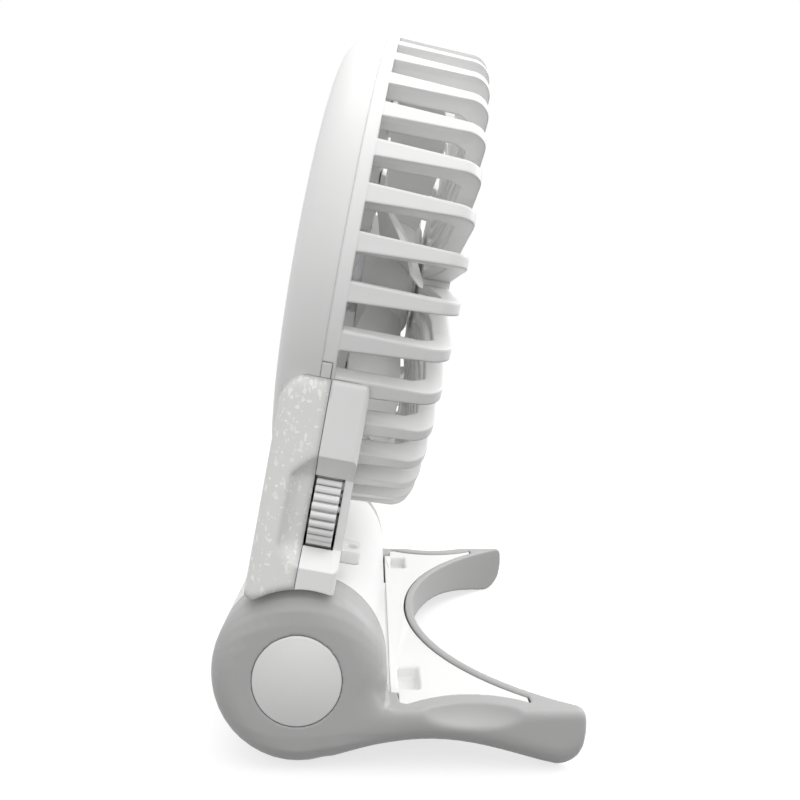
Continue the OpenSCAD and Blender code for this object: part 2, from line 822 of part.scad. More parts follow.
// The ribs' profile: radius outwards and axis forwards, from the ring to the centre disc.
module rib_profile() {
    front_in = grille_front - rib_depth + 0.2;
    corner_a = grille_front - corner_r;
    corner_x = drum_r_at(corner_a) - rib_sink - corner_r;
    polygon([[drum_r - rib_sink, rib_foot], [corner_x + corner_r, corner_a], [corner_x, corner_a],
        [corner_x, grille_front], [core_r - past, grille_front], [core_r - past, core_back + 0.2],
        [core_r + 0.4, core_back + 0.2], [core_r + 8, front_in - 1.5], [core_r + 24, front_in],
        [corner_x - 1.2, front_in],
        [drum_r_at(front_in) - rib_depth, front_in - 3], [drum_r - rib_depth, rib_foot]]);
    intersection() {
        translate([corner_x, corner_a]) circle(r = corner_r);
        translate([corner_x, corner_a]) square(corner_r + past);
    }
}

// One rib: tapering along the side, then across the front
module rib() {
    half_root = rib_root_w / 2;
    half_tip = rib_tip_w / 2;
    half_core = rib_core_w / 2;
    side_in = drum_r - 2 * corner_r - 2;
    intersection() {
        rotate([90, 0, 0]) linear_extrude(height = 2 * rib_root_w, center = true) rib_profile();
        union() {
            // Along the side, the width follows the axis
            translate([side_in, 0, 0]) rotate([90, 0, 90]) linear_extrude(height = far)
                polygon([[-half_root, rib_foot - past], [-half_tip, grille_front + past],
                    [half_tip, grille_front + past], [half_root, rib_foot - past]]);
            // Across the front, the width follows the radius
            translate([0, 0, core_back - past]) linear_extrude(height = far)
                polygon([[core_r - 2 * past, -half_core], [drum_r, -half_tip],
                    [drum_r, half_tip], [core_r - 2 * past, half_core]]);
        }
    }
}

// Both latch places on the ring, grown by g
module latch_blocks(g) {
    for (s = [0, 1]) mirror([0, s, 0]) rotate(90 - latch_turn)
        box([drum_r - 1.4 - g, -latch_len / 2 - g, drum_seam + seam_gap - g],
            [drum_r + 0.2 + g * 5, latch_len / 2 + g, rib_root - 0.9 + g]);
}

module front_grille() {
    color([0.96, 0.96, 0.96]) on_fan_axis() {
        difference() {
            rotate_extrude() translate([drum_r - drum_wall, drum_seam + seam_gap / 2])
                square([drum_wall, ring_len - seam_gap / 2]);
            latch_blocks(seam_gap);
        }
        rotate_extrude() {
            translate([0, core_back]) square([core_r, core_t]);
            translate([core_r - core_wall, core_back])
                square([core_wall, grille_front + core_rise - core_back]);
        }
        for (i = [0 : rib_n - 1]) rotate(90 - rib_phase + i * rib_step) rib();
    }
}

module grille_badge() {
    badge_r = core_r - core_wall - seam_gap;
    badge_top = grille_front - 0.6;
    color([0.97, 0.97, 0.97]) on_fan_axis() rotate_extrude() {
        translate([0, badge_top - 1.7]) square([badge_r, 1.7]);
        translate([badge_r - 1.5, core_back + core_t + seam_gap / 3])
            square([1.5, badge_top - 1 - core_back - core_t]);
    }
}

module grille_latches() {
    color([0.94, 0.94, 0.94]) on_fan_axis() intersection() {
        latch_blocks(0);
        translate([0, 0, drum_seam]) cylinder(r = drum_r, h = ring_len, $fn = 720);
    }
}

// ---- Motor ----

module motor_can() {
    color([0.7, 0.7, 0.72]) on_fan_axis() difference() {
        translate([0, 0, motor_back]) cylinder(r = motor_r, h = motor_front - motor_back);
        translate([0, 0, motor_back + 1.5]) cylinder(r = 2.2, h = far);
        translate([0, 0, motor_front - 2]) cylinder(r = 3 + run_gap, h = far);
        for (s = [-1, 1]) translate([s * motor_screw_x, 0, motor_back - past]) cylinder(r = 1.2, h = 5);
    }
}

module motor_end_plate() {
    color([0.85, 0.85, 0.82]) on_fan_axis() difference() {
        translate([0, 0, motor_front]) cylinder(r = motor_r, h = motor_plate_t);
        translate([0, 0, motor_front - past]) cylinder(r = 2.2, h = far);
    }
}

module motor_bushes() {
    color([0.75, 0.6, 0.3]) on_fan_axis() {
        difference() {
            translate([0, 0, motor_front - 2]) cylinder(r = 3, h = 2);
            translate([0, 0, motor_front - 3]) cylinder(r = shaft_r + run_gap, h = 4);
        }
        difference() {
            translate([0, 0, motor_back + 1.5]) cylinder(r = 2.15, h = 2);
            translate([0, 0, motor_back]) cylinder(r = shaft_r + run_gap, h = 4);
        }
    }
}

module motor_screws() {
    color([0.6, 0.6, 0.62]) on_fan_axis() for (s = [-1, 1]) translate([s * motor_screw_x, 0, 0]) {
        translate([0, 0, drum_back + rear_cap_t - 0.7]) cylinder(r = 2.4, h = 0.7);
        translate([0, 0, drum_back + rear_cap_t - 0.1]) cylinder(r = 1.1, h = 5);
    }
}

// ---- Rotor ----

// Share of the way out along a blade, and what follows from it
function blade_at(s) = root_r + (blade_tip_r - root_r) * s;
function blade_pitch(s) = root_pitch + (tip_pitch - root_pitch) * pow(s, 0.7);
// The chord grows outwards and then rounds off towards the tip
function blade_axial(s) = blade_depth * (0.62 + 0.38 * min(s * 2, 1))
    * sqrt(1 - pow(max(s - 0.72, 0) / 0.28, 2) * 0.75);
function blade_lag(s) = 9 * s * s;
// A point on the blade's middle surface: c runs from -0.5 to 0.5 across the chord
function blade_point(s, c, up) =
    let (r = blade_at(s), ax = blade_axial(s) * c, tan_w = ax / tan(blade_pitch(s)),
        camber = 1.3 * (1 - 4 * c * c), turn = blade_lag(s) + tan_w / r * 57.2958)
    [r * cos(turn), r * sin(turn), blade_mid + ax + camber + up];

module blade() {
    m = 2 * (blade_cols + 1);
    n = blade_rows + 1;
    points = [for (i = [0 : blade_rows]) each concat(
        [for (j = [0 : blade_cols]) let (c = j / blade_cols - 0.5)
            blade_point(i / blade_rows, c, blade_t / 2 * (1.15 - 3.4 * c * c))],
        [for (j = [blade_cols : -1 : 0]) let (c = j / blade_cols - 0.5)
            blade_point(i / blade_rows, c, -blade_t / 2 * (1.15 - 3.4 * c * c))])];
    faces = concat(
        [for (j = [0 : blade_cols - 1]) [j + 1, j, m - 2 - j]],
        [for (j = [0 : blade_cols - 1]) [m - 2 - j, j, m - 1 - j]],
        [for (j = [0 : blade_cols - 1]) let (b = (n - 1) * m) [b + j, b + j + 1, b + m - 2 - j]],
        [for (j = [0 : blade_cols - 1]) let (b = (n - 1) * m) [b + j, b + m - 2 - j, b + m - 1 - j]],
        [for (i = [0 : n - 2], j = [0 : m - 1]) [i * m + j, i * m + (j + 1) % m, (i + 1) * m + j]],
        [for (i = [0 : n - 2], j = [0 : m - 1])
            [(i + 1) * m + j, i * m + (j + 1) % m, (i + 1) * m + (j + 1) % m]]);
    polyhedron(points = points, faces = faces);
}

// The hole for the motor's shaft, up to just under the top of the hub
module hub_bore() {
    translate([0, 0, hub_back - past])
        cylinder(r = shaft_r + run_gap / 2, h = hub_front - 2 - hub_back + past);
}

module impeller() {
    stem_back = motor_front + motor_plate_t + 1;
    color([0.9, 0.9, 0.9]) on_fan_axis() difference() {
        union() {
            for (i = [0 : blade_n - 1]) rotate(i * 360 / blade_n) blade();
            rotate_extrude() {
                translate([0, hub_back]) square([hub_r, hub_front - hub_back - 4]);
                translate([0, hub_back]) square([hub_r - 4, hub_front - hub_back]);
                translate([hub_r - 4, hub_front - 4]) circle(r = 4);
            }
        }
        translate([0, 0, hub_back - past])
            cylinder(r = hub_r - hub_wall, h = hub_front - 5 - hub_back + past);
        hub_bore();
    }
    color([0.9, 0.9, 0.9]) on_fan_axis() difference() {
        translate([0, 0, stem_back]) cylinder(r = 4, h = hub_front - 4 - stem_back);
        hub_bore();
    }
}

module motor_shaft() {
    color([0.78, 0.78, 0.8]) on_fan_axis()
        translate([0, 0, motor_back + 1.6]) cylinder(r = shaft_r, h = hub_front - 2.2 - motor_back - 1.6);
}

// ---- Dial ----

module speed_wheel() {
    color([0.92, 0.92, 0.92]) in_head() translate([0, -wheel_y, dial_z]) difference() {
        union() {
            rod_x(wheel_r - ridge_r, wheel_x0, wheel_x0 + wheel_t);
            for (i = [0 : ridge_n - 1]) rotate([i * 360 / ridge_n, 0, 0])
                translate([0, wheel_r - ridge_r, 0]) rod_x(ridge_r, wheel_x0, wheel_x0 + wheel_t);
        }
        rod_x(shaft_r + run_gap / 2, -far, far);
    }
}

module wheel_shaft() {
    color([0.78, 0.78, 0.8]) in_head() translate([0, -wheel_y, dial_z])
        rod_x(shaft_r, sensor_back + 2.2, slot_front + shaft_tip - 0.1);
}

base_frame();
base_top_plate();
base_plate_screws();
rear_feet();
left_hinge_cap();
right_hinge_cap();
friction_washers();
neck_front_shell();
neck_rear_cover();
neck_screws();
left_hinge_pin();
right_hinge_pin();
hinge_screws();
battery_cells();
battery_holder();
battery_contacts();
dial_board();
dial_sensor();
charging_board();
usb_socket();
charge_light();
rear_housing();
rear_centre_cap();
front_grille();
grille_badge();
grille_latches();
motor_can();
motor_end_plate();
motor_bushes();
motor_screws();
impeller();
motor_shaft();
speed_wheel();
wheel_shaft();
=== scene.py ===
import json
import math

import bmesh
import bpy
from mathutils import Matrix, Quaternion, Vector


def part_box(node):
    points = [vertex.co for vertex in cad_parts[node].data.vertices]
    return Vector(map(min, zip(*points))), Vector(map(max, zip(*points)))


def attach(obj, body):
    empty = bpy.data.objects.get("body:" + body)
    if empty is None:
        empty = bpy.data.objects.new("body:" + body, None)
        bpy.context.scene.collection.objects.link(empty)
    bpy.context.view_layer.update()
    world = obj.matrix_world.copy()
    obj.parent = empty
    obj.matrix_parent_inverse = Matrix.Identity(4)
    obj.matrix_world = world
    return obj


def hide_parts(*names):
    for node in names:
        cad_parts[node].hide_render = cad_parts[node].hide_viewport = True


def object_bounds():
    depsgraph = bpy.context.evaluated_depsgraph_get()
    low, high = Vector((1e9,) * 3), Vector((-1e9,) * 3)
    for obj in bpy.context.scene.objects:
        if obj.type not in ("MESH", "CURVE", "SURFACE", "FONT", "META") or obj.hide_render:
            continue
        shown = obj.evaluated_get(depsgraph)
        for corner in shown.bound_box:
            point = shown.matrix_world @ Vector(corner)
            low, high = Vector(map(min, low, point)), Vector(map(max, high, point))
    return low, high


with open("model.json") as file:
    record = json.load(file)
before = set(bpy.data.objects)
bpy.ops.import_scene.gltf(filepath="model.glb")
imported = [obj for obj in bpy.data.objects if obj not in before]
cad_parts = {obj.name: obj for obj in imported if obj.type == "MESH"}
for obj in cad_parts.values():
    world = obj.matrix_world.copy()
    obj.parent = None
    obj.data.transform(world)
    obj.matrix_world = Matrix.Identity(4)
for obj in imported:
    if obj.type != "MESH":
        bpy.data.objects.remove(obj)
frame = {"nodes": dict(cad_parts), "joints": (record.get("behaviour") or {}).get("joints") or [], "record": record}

bl_info = {
    "name": "Camping Fan",
    "version": (1, 0, 0),
    "blender": (4, 5, 0),
    "location": "3D View > Sidebar > Fan",
    "description": "Finishes a folding camping fan: soft edges, plastics, metals and a plain studio",
    "category": "Object",
}

MM = 0.001
CAD_LO, CAD_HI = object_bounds()
JOINTS = {j["name"]: j for j in frame["joints"]}
BODY_OF = {n: b for b, ns in frame["record"]["behaviour"]["bodies"].items() for n in ns}
SLOT_OF = {s["node"]: s["material_slot"] for s in frame["record"]["subparts"]}

# The hinge, and the frame of the head, which leans forward on it
HINGE = Vector(JOINTS["tilt"]["pos_m"])
FAN_AXIS = Vector(JOINTS["fan_spin"]["axis"])
HEAD_UP = Vector((-FAN_AXIS.z, 0, FAN_AXIS.x))


# ---- Sizes and colours that a user would change ----

class FanSizes(bpy.types.PropertyGroup):
    """Edge sizes of the mouldings."""
    rib_edge: bpy.props.FloatProperty(
        name="Rib edge", description="Rounding of the grille's ribs", default=0.55 * MM,
        unit="LENGTH")
    shell_edge: bpy.props.FloatProperty(
        name="Shell edge", description="Rounding of the neck mouldings", default=0.45 * MM,
        unit="LENGTH")
    drum_fit: bpy.props.FloatProperty(
        name="Drum fit", description="How far the drum's rear half reaches to its front half",
        default=0.15 * MM, unit="LENGTH")
    cap_fit: bpy.props.FloatProperty(
        name="Cap fit", description="Width of the round covers, as a share of the packed ones",
        default=1.016)
    foot_grid: bpy.props.FloatProperty(
        name="Foot grid", description="Face size of the foot's even mesh", default=0.34 * MM,
        unit="LENGTH")
    plate_gap: bpy.props.FloatProperty(
        name="Plate gap", description="Extra room round the foot's plate", default=0.2 * MM,
        unit="LENGTH")
    pocket_edge: bpy.props.FloatProperty(
        name="Pocket edge", description="Rounding of the pockets in the foot's plate", default=0.8 * MM,
        unit="LENGTH")
    small_edge: bpy.props.FloatProperty(
        name="Small edge", description="Rounding of small parts", default=0.2 * MM, unit="LENGTH")


class FanFinish(bpy.types.PropertyGroup):
    """Colours of the mouldings."""
    white: bpy.props.FloatVectorProperty(
        name="White", description="Drum, grille and front of the neck", subtype="COLOR",
        size=3, default=(0.86, 0.86, 0.855))
    grey: bpy.props.FloatVectorProperty(
        name="Grey", description="Foot and its round cheeks", subtype="COLOR",
        size=3, default=(0.44, 0.44, 0.437))
    cap: bpy.props.FloatVectorProperty(
        name="Caps", description="Round covers on the cheeks", subtype="COLOR",
        size=3, default=(0.77, 0.77, 0.765))
    cover: bpy.props.FloatVectorProperty(
        name="Cover", description="Ground colour of the speckled cover", subtype="COLOR",
        size=3, default=(0.84, 0.84, 0.82))
    fleck: bpy.props.FloatVectorProperty(
        name="Flecks", description="Flecks of the speckled cover", subtype="COLOR",
        size=3, default=(1.0, 1.0, 0.985))


class FanStage(bpy.types.PropertyGroup):
    """Light of the plain studio."""
    world_level: bpy.props.FloatProperty(
        name="World", description="Strength of the even light from all round", default=0.84)
    top_level: bpy.props.FloatProperty(
        name="Top lamp", description="Power of the large lamp above, in watts", default=3.4)
    side_level: bpy.props.FloatProperty(
        name="Side lamp", description="Power of the lamp ahead of the fan, in watts", default=3.3)
    near_level: bpy.props.FloatProperty(
        name="Near lamp", description="Power of the lamp beside the fan's dial, in watts", default=1.65)


# Where the drum's two halves meet, along the fan's axis from the hinge
SEAM_AT = -7.9 * MM
# The seam's two faces lie within this distance of it
SEAM_HALF = 0.12 * MM
# How much the edges at the seam are rounded, as a share of the others
SEAM_SHARE = 0.12


def on_the_seam(point):
    return abs((point - HINGE).dot(FAN_AXIS) - SEAM_AT) < SEAM_HALF


def off_the_seam(point):
    """1 on an edge that is rounded in full, and little on the seam between the drum's halves."""
    return SEAM_SHARE if on_the_seam(point) else 1.0


# ---- Modelling helpers ----

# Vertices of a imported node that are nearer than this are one, and flat faces bend less than this
MERGE_WITHIN = 0.002 * MM
FLAT_WITHIN = math.radians(0.6)
# How much the larger faces steer the shading at an edge, from 1 to 100
FACE_WEIGHT = 80
# A face or a vertex that is this near to a plane lies in it
HAIR = 0.01 * MM


def pick_none():
    """Leaves nothing selected."""
    bpy.ops.object.select_all(action="DESELECT")


def pick(obj):
    """Makes obj the only selected and the active object."""
    pick_none()
    obj.select_set(True)
    bpy.context.view_layer.objects.active = obj
    return obj


def merged_copy(node, name):
    """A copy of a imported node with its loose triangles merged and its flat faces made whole."""
    obj = bpy.data.objects.new(name, frame["nodes"][node].data.copy())
    obj.data.materials.clear()
    bpy.context.scene.collection.objects.link(obj)
    pick(obj)
    bpy.ops.object.mode_set(mode="EDIT")
    bpy.ops.mesh.select_all(action="SELECT")
    bpy.ops.mesh.customdata_custom_splitnormals_clear()
    bpy.ops.mesh.remove_doubles(threshold=MERGE_WITHIN)
    bpy.ops.mesh.dissolve_limited(angle_limit=FLAT_WITHIN, delimit=set())
    bpy.ops.object.mode_set(mode="OBJECT")
    return obj


def add_modifier(obj, kind, **values):
    """Adds a modifier, sets it and applies it."""
    pick(obj)
    bpy.ops.object.modifier_add(type=kind)
    modifier = obj.modifiers[-1]
    for key, value in values.items():
        setattr(modifier, key, value)
    bpy.ops.object.modifier_apply(modifier=modifier.name)


def weigh_edges(obj, angle, share_at):
    """Gives each hard edge a bevel weight, which share_at tells from its middle."""
    mesh = bmesh.new()
    mesh.from_mesh(obj.data)
    weight = mesh.edges.layers.float.new("bevel_weight_edge")
    for edge in mesh.edges:
        if len(edge.link_faces) == 2 and edge.calc_face_angle() > math.radians(angle):
            edge[weight] = share_at((edge.verts[0].co + edge.verts[1].co) / 2)
    mesh.to_mesh(obj.data)
    mesh.free()


def weigh_vertices(obj, name, share_at):
    """A vertex group whose weights share_at tells from the places of the vertices."""
    group = obj.vertex_groups.new(name=name)
    for vertex in obj.data.vertices:
        share = share_at(vertex.co)
        if share > 0:
            group.add([vertex.index], share, "REPLACE")
    return name


def fade(distance, full, none):
    """1 up to the distance full, and down to 0 at the distance none."""
    return min(max((none - distance) / (none - full), 0), 1)


def soften(obj, width, segments=3, angle=32, smooth=40, share_at=None, clamp=True):
    """Rounds the hard edges, less where share_at says so, and shades the rest smooth."""
    limit = "ANGLE"
    if share_at is not None:
        weigh_edges(obj, angle, share_at)
        limit = "WEIGHT"
    add_modifier(obj, "BEVEL", width=width, segments=segments, limit_method=limit,
                 angle_limit=math.radians(angle), use_clamp_overlap=clamp, miter_outer="MITER_ARC")
    pick(obj)
    bpy.ops.object.shade_smooth_by_angle(angle=math.radians(smooth))
    add_modifier(obj, "WEIGHTED_NORMAL", keep_sharp=True, weight=FACE_WEIGHT)


def islands(obj):
    """The loose pieces of a mesh, as lists of its faces."""
    left = set(range(len(obj.data.polygons)))
    by_vertex = {}
    for face in obj.data.polygons:
        for v in face.vertices:
            by_vertex.setdefault(v, []).append(face.index)
    found = []
    while left:
        queue = [left.pop()]
        group = []
        while queue:
            index = queue.pop()
            group.append(obj.data.polygons[index])
            for v in obj.data.polygons[index].vertices:
                for other in by_vertex[v]:
                    if other in left:
                        left.discard(other)
                        queue.append(other)
        found.append(group)
    return found


def cross_recesses(obj, outwards, length, width, depth):
    """Cuts a cross into the head of each screw, on the side that faces outwards."""
    turn = outwards.to_track_quat("Z", "Y")
    cutters = []
    for group in islands(obj):
        head = max(group, key=lambda face: (round(face.center.dot(outwards), 5), face.area))
        for angle in (0, 90):
            pick_none()
            bpy.ops.mesh.primitive_cube_add(size=1, location=head.center)
            arm = bpy.context.object
            arm.scale = (length, width, 2 * depth)
            arm.rotation_mode = "QUATERNION"
            arm.rotation_quaternion = turn @ Quaternion((0, 0, 1), math.radians(angle + 45))
            bpy.ops.object.transform_apply(location=True, rotation=True, scale=True)
            cutters.append(arm)
    for cutter in cutters:
        add_modifier(obj, "BOOLEAN", operation="DIFFERENCE", solver="EXACT", object=cutter)
    for cutter in cutters:
        bpy.data.objects.remove(cutter, do_unlink=True)


def place(obj, node, *more):
    """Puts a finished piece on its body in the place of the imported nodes."""
    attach(obj, BODY_OF[node])
    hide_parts(node, *more)


def finish_with(obj, material):
    """Gives the whole piece one material."""
    obj.data.materials.clear()
    obj.data.materials.append(material)


def soft_copy(node, name, width, material, segments=3, angle=32, smooth=40, share_at=None):
    """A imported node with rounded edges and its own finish."""
    obj = merged_copy(node, name)
    soften(obj, width, segments, angle, smooth, share_at)
    finish_with(obj, material)
    place(obj, node)
    return obj


# ---- Materials ----

class Surface:
    """Builds one node material, and keeps the places of its nodes tidy."""

    def __init__(self, name, colour, rough, metal=0.0, coat=0.0):
        self.material = bpy.data.materials.new(name)
        self.material.use_nodes = True
        self.tree = self.material.node_tree
        self.shader = self.tree.nodes["Principled BSDF"]
        self.shader.inputs["Base Color"].default_value = (*colour, 1)
        self.shader.inputs["Roughness"].default_value = rough
        self.shader.inputs["Metallic"].default_value = metal
        self.shader.inputs["Coat Weight"].default_value = coat
        self.colour = colour
        self.rough = rough
        self.count = 0
        self.coords = self.add("ShaderNodeTexCoord")

    def add(self, kind, **values):
        node = self.tree.nodes.new(kind)
        node.location = (-260 * (1 + self.count // 4), 300 - 220 * (self.count % 4))
        self.count += 1
        for key, value in values.items():
            setattr(node, key, value)
        return node

    def link(self, source, target):
        self.tree.links.new(source, target)

    def stretched(self, scale):
        node = self.add("ShaderNodeMapping")
        node.inputs["Scale"].default_value = scale
        self.link(self.coords.outputs["Object"], node.inputs["Vector"])
        return node.outputs["Vector"]

    def noise(self, scale, detail=2.0, vector=None):
        node = self.add("ShaderNodeTexNoise")
        node.inputs["Scale"].default_value = scale
        node.inputs["Detail"].default_value = detail
        self.link(vector or self.coords.outputs["Object"], node.inputs["Vector"])
        return node.outputs["Fac"]

    def spread(self, value, low, high, start=0.3, end=0.7):
        node = self.add("ShaderNodeMapRange")
        for key, number in (("From Min", start), ("From Max", end), ("To Min", low), ("To Max", high)):
            node.inputs[key].default_value = number
        self.link(value, node.inputs["Value"])
        return node.outputs["Result"]

    def mix(self, share, first, second):
        node = self.add("ShaderNodeMix", data_type="RGBA")
        for key, value in (("A", first), ("B", second)):
            socket = [s for s in node.inputs if s.name == key and s.type == "RGBA"][0]
            if isinstance(value, tuple):
                socket.default_value = (*value, 1)
            else:
                self.link(value, socket)
        self.link(share, node.inputs["Factor"])
        return [s for s in node.outputs if s.type == "RGBA"][0]

    def pair(self, kind, first, second):
        node = self.add("ShaderNodeMath", operation=kind)
        self.link(first, node.inputs[0])
        self.link(second, node.inputs[1])
        return node.outputs["Value"]

    def times(self, first, second):
        return self.pair("MULTIPLY", first, second)

    def larger(self, first, second):
        return self.pair("MAXIMUM", first, second)

    def set(self, key, output):
        self.link(output, self.shader.inputs[key])

    def rounded(self, radius):
        """Rounds the look of every edge over a radius, which may be a number or a node's output."""
        soft = self.add("ShaderNodeBevel", samples=8)
        if isinstance(radius, float):
            soft.inputs["Radius"].default_value = radius
        else:
            self.link(radius, soft.inputs["Radius"])
        return soft.outputs["Normal"]

    def near(self, centre, reach, inside, outside, flat=(1, 1, 1)):
        """One number near a place on either side of the fan, and another one away from it."""
        both = self.add("ShaderNodeVectorMath", operation="ABSOLUTE")
        self.link(self.coords.outputs["Object"], both.inputs[0])
        keep = self.add("ShaderNodeVectorMath", operation="MULTIPLY_ADD")
        self.link(self.coords.outputs["Object"], keep.inputs[0])
        keep.inputs[1].default_value = (flat[0], 0, flat[2])
        keep.inputs[2].default_value = (-centre[0] * flat[0], 0, -centre[2] * flat[2])
        side = self.add("ShaderNodeVectorMath", operation="MULTIPLY_ADD")
        self.link(both.outputs["Vector"], side.inputs[0])
        side.inputs[1].default_value = (0, flat[1], 0)
        side.inputs[2].default_value = (0, -centre[1] * flat[1], 0)
        total = self.add("ShaderNodeVectorMath", operation="ADD")
        self.link(keep.outputs["Vector"], total.inputs[0])
        self.link(side.outputs["Vector"], total.inputs[1])
        size = self.add("ShaderNodeVectorMath", operation="LENGTH")
        self.link(total.outputs["Vector"], size.inputs[0])
        return self.spread(size.outputs["Value"], inside, outside, reach[0], reach[1])

    def grain(self, height, distance, strength=0.5, under=None):
        """Fine relief, over the rounded edges if they are given."""
        bump = self.add("ShaderNodeBump")
        if under is not None:
            self.link(under, bump.inputs["Normal"])
        bump.inputs["Strength"].default_value = strength
        bump.inputs["Distance"].default_value = distance
        self.link(height, bump.inputs["Height"])
        self.set("Normal", bump.outputs["Normal"])

    def painted_seam_shade(self, base, reach):
        """Painted shade: darker down in narrow gaps, where little light gets in."""
        open_to = self.add("ShaderNodeAmbientOcclusion", samples=6)
        open_to.inputs["Distance"].default_value = reach
        share = self.spread(open_to.outputs["AO"], 1, 0, *SEAM_OPEN)
        return self.mix(share, base, tuple(c * SEAM_SHADE for c in self.colour))

    def paler_edges(self, base):
        """Slightly paler on sharp outward edges."""
        point = self.add("ShaderNodeNewGeometry").outputs["Pointiness"]
        share = self.spread(point, 0, PALE_EDGE_SHARE, *PALE_EDGE_FROM)
        paler = tuple(min(c * PALE_EDGE_GAIN, PALEST) for c in self.colour)
        return self.mix(share, base, paler)

    def drift(self, scale, tone):
        """The colour, slowly drifting to a slightly darker tone and back."""
        return self.mix(self.spread(self.noise(scale, 2), 0, 1), self.colour,
                        tuple(c * tone for c in self.colour))

    def uneven_gloss(self, rough):
        low, high = (rough + step for step in GLOSS_SPREAD)
        self.set("Roughness", self.spread(self.noise(GLOSS_PATCHES, 3), low, high))


# Painted shade in seams: how much of its colour a plastic keeps down in a seam, how near the other side of a seam
# is, and how open to its surroundings a place is that has full painted shade and none
SEAM_SHADE = 0.25
SEAM_REACH = 0.8 * MM
SEAM_OPEN = (0.18, 0.62)
# Paler sharp edges: how much paler tone they get, how pale it is, and the sharpness from which it shows
PALE_EDGE_SHARE = 0.5
PALE_EDGE_GAIN = 1.08
PALEST = 0.95
PALE_EDGE_FROM = (0.51, 0.60)
# Patches of gloss in a metre, and how far they take a plastic's roughness down and up
GLOSS_PATCHES = 38
GLOSS_SPREAD = (-0.05, 0.06)


def moulded(name, colour, rough=0.42, grain=1500, depth=0.03, coat=0.0, soft=None, seam=SEAM_REACH):
    """Moulded plastic: fine texture, a slow drift of gloss and tone, soft edges, paler sharp edges, and painted
    shade down in gaps within seam.
    """
    s = Surface(name, colour, rough, coat=coat)
    under = None
    if soft is not None:
        under = s.rounded(soft(s) if callable(soft) else soft)
    s.uneven_gloss(rough)
    # The colour: a slow drift of tone, paler sharp edges, and painted shade down in narrow gaps
    s.set("Base Color", s.painted_seam_shade(s.paler_edges(s.drift(22, 0.965)), seam))
    s.grain(s.noise(grain, 3), depth * MM, 0.35, under)
    return s.material


# Flecks of the cover: cells per metre, stretch, turn, share of the cells with a fleck, and the
# fleck's reach in its cell
FLECKS = (
    (520, (1.0, 0.9, 0.55), (0.4, 0.3, 0.8), 0.50, 0.38),
    (680, (0.5, 1.0, 0.9), (1.3, 0.9, 2.4), 0.48, 0.37),
    (760, (0.9, 0.6, 0.28), (2.1, 1.5, 4.0), 0.46, 0.36),
    (1250, (0.8, 1.0, 0.7), (0.9, 2.6, 1.2), 0.42, 0.36),
)


# How far a fleck's outline strays, and how often in a metre
FLECK_RAGGED = 0.9 * MM
FLECK_NOTCHES = 900
# How soft a fleck's edge is, and how sharp the line is between cells with a fleck and without one
FLECK_BLUR = 0.012
CHOICE_BLUR = 0.005
# How strong the faintest flecks are, and the share of flecks that are fainter than the rest
FAINTEST = 0.45
FAINT_SHARE = 0.7
# How round the cover's edges look
COVER_SOFT = 3.0 * MM


def speckled(name, colour, fleck):
    """Moulded plastic with sparse pale chips, slivers and dots of several sizes, at random."""
    s = Surface(name, colour, 0.5)
    ragged = s.add("ShaderNodeTexNoise")
    ragged.inputs["Scale"].default_value = FLECK_NOTCHES
    ragged.inputs["Detail"].default_value = 1.0
    s.link(s.coords.outputs["Object"], ragged.inputs["Vector"])
    shift = s.add("ShaderNodeVectorMath", operation="MULTIPLY_ADD")
    s.link(ragged.outputs["Color"], shift.inputs[0])
    shift.inputs[1].default_value = (FLECK_RAGGED,) * 3
    s.link(s.coords.outputs["Object"], shift.inputs[2])
    total = None
    for scale, stretch, turn, part, reach in FLECKS:
        place_in = s.add("ShaderNodeMapping")
        place_in.inputs["Scale"].default_value = stretch
        place_in.inputs["Rotation"].default_value = turn
        s.link(shift.outputs["Vector"], place_in.inputs["Vector"])
        cells = s.add("ShaderNodeTexVoronoi", feature="F1", distance="MANHATTAN")
        cells.inputs["Scale"].default_value = scale
        cells.inputs["Randomness"].default_value = 0.9
        s.link(place_in.outputs["Vector"], cells.inputs["Vector"])
        split = s.add("ShaderNodeSeparateColor")
        s.link(cells.outputs["Color"], split.inputs["Color"])
        chosen = s.spread(split.outputs["Red"], 1, 0, part - CHOICE_BLUR, part + CHOICE_BLUR)
        edge = s.spread(cells.outputs["Distance"], 1, 0, reach - FLECK_BLUR, reach + FLECK_BLUR)
        tint = s.spread(split.outputs["Green"], FAINTEST, 1, 0, FAINT_SHARE)
        share = s.times(s.times(chosen, edge), tint)
        total = share if total is None else s.larger(total, share)
    # Painted shade darkens the cover down in narrow gaps, over its flecked colour
    s.set("Base Color", s.painted_seam_shade(s.mix(total, s.drift(30, 0.97), fleck), SEAM_REACH))
    s.set("Roughness", s.spread(total, 0.5, 0.4, 0, 1))
    s.grain(s.noise(1300, 3), 0.035 * MM, 0.4, s.rounded(COVER_SOFT))
    return s.material


def turned_metal(name, colour, rough=0.3, stretch=(1, 1, 30)):
    """Bare metal with fine tool lines and slightly uneven gloss."""
    s = Surface(name, colour, rough, metal=1.0)
    lines = s.noise(900, 4, s.stretched(stretch))
    s.set("Roughness", s.spread(lines, rough - 0.08, rough + 0.12))
    darker = tuple(c * 0.9 for c in colour)
    s.set("Base Color", s.mix(s.spread(s.noise(120, 3), 0, 1), colour, darker))
    s.grain(lines, 0.01 * MM, 0.3)
    return s.material


